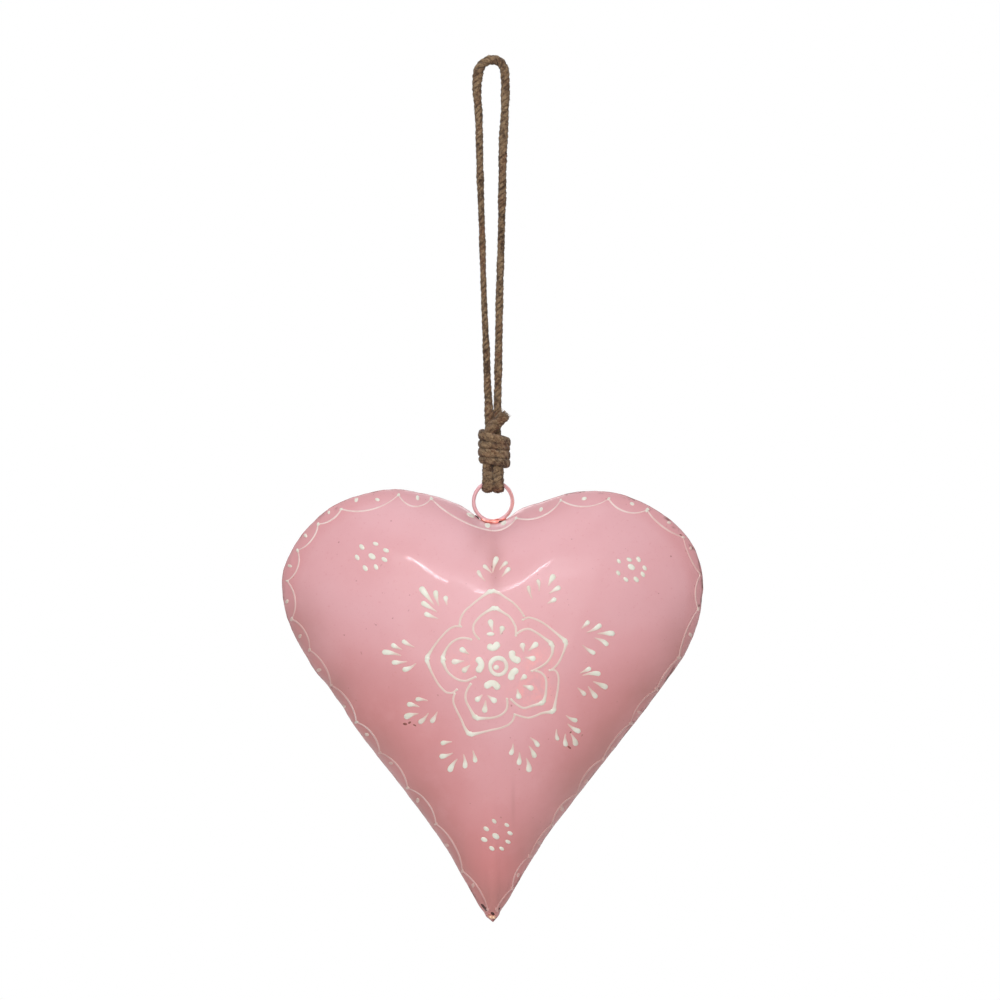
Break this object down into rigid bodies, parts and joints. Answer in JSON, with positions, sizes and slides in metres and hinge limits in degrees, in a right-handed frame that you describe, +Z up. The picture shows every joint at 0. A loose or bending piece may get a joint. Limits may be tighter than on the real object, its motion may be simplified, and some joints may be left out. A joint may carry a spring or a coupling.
{
  "type": "hanging heart ornament",
  "caption": "Puffed heart of two welded sheet-iron domes, painted, with a wire ring in its notch, hung from a knotted jute cord loop.",
  "frame": {"origin": "inside of the cord loop's bight, where a nail or hook carries the ornament", "axes": "+Z up along the hanging cord, +X to the right seen from the painted front, +Y from the front of the heart to its back"},
  "size_m": [0.16, 0.0536, 0.329],
  "materials": {
    "paint": "satin pink paint on iron, lightly worn at the rim",
    "braze": "shiny salmon, thin paint over brazing metal",
    "jute": "natural brown jute twine, matt and hairy"
  },
  "bodies": {
    "loop": {"cord_loop": "jute"},
    "knot": {"cord_throat_left": "jute", "cord_throat_right": "jute", "cord_core": "jute", "cord_wraps": "jute", "cord_tail": "jute"},
    "eye": {"cord_eye_left": "jute", "cord_eye_right": "jute"},
    "heart": {"front_shell": "paint", "back_shell": "paint", "seam_weld": "paint", "hanging_ring": "paint", "ring_braze": "braze"}
  },
  "joints": [
    {"name": "cord_twist", "type": "hinge", "parent": "loop", "child": "knot", "pos_m": [0, 0, -0.1312], "axis": [0, 0, 1], "range_deg": [-180, 180], "stiffness_Nm_per_rad": 0.00015},
    {"name": "neck_sway", "type": "hinge", "parent": "knot", "child": "eye", "pos_m": [0, 0, -0.15473], "axis": [0, 1, 0], "range_deg": [-20, 20]},
    {"name": "heart_swing", "type": "hinge", "parent": "eye", "child": "heart", "pos_m": [0, 0, -0.15943], "axis": [1, 0, 0], "range_deg": [-90, 90]}
  ]
}
